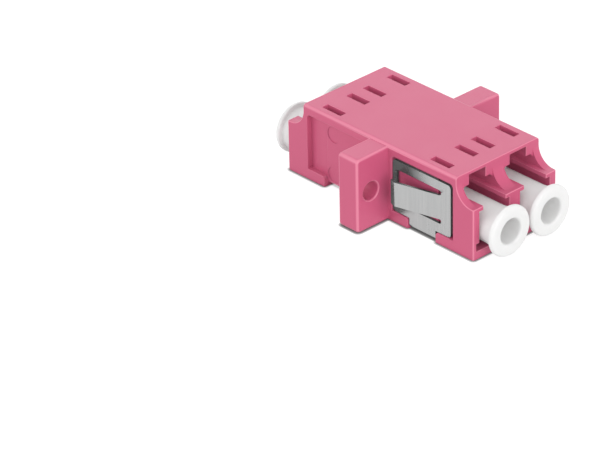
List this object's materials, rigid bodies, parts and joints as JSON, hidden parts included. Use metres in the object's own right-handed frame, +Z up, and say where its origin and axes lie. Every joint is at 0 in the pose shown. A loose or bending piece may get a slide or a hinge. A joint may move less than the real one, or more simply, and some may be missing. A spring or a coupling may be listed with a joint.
{
  "type": "duplex lc fibre adapter",
  "caption": "Flanged duplex LC fibre adapter: moulded body with plug ports at both ends, steel panel clip, inner sleeves and dust caps.",
  "frame": {"origin": "middle of the adapter's footprint, on its underside", "axes": "+X out of the front end, the half that carries the clip, along the optical axes; +Y towards the right port seen from the front; +Z up through the moulded roof"},
  "size_m": [0.034, 0.0222, 0.0093],
  "materials": {
    "moulded_body": "satin moulded plastic, heather pink",
    "clip_steel": "satin spring steel sheet",
    "holder_plastic": "satin moulded plastic",
    "sleeve_ceramic": "polished white zirconia",
    "cap_plastic": "soft white plastic"
  },
  "bodies": {
    "adapter": {"housing": "moulded_body", "spring_clip": "clip_steel", "sleeve_holder_front_left": "holder_plastic", "sleeve_holder_front_right": "holder_plastic", "sleeve_holder_rear_left": "holder_plastic", "sleeve_holder_rear_right": "holder_plastic", "alignment_sleeve_left": "sleeve_ceramic", "alignment_sleeve_right": "sleeve_ceramic"},
    "front_left_cap": {"dust_cap_front_left": "cap_plastic"},
    "front_right_cap": {"dust_cap_front_right": "cap_plastic"},
    "rear_left_cap": {"dust_cap_rear_left": "cap_plastic"},
    "rear_right_cap": {"dust_cap_rear_right": "cap_plastic"}
  },
  "joints": [
    {"name": "cap_pull_front_left", "type": "slide", "parent": "adapter", "child": "front_left_cap", "axis": [1, 0, 0], "range_m": [0, 0.012]},
    {"name": "cap_pull_front_right", "type": "slide", "parent": "adapter", "child": "front_right_cap", "axis": [1, 0, 0], "range_m": [0, 0.012]},
    {"name": "cap_pull_rear_left", "type": "slide", "parent": "adapter", "child": "rear_left_cap", "axis": [-1, 0, 0], "range_m": [0, 0.012]},
    {"name": "cap_pull_rear_right", "type": "slide", "parent": "adapter", "child": "rear_right_cap", "axis": [-1, 0, 0], "range_m": [0, 0.012]}
  ]
}
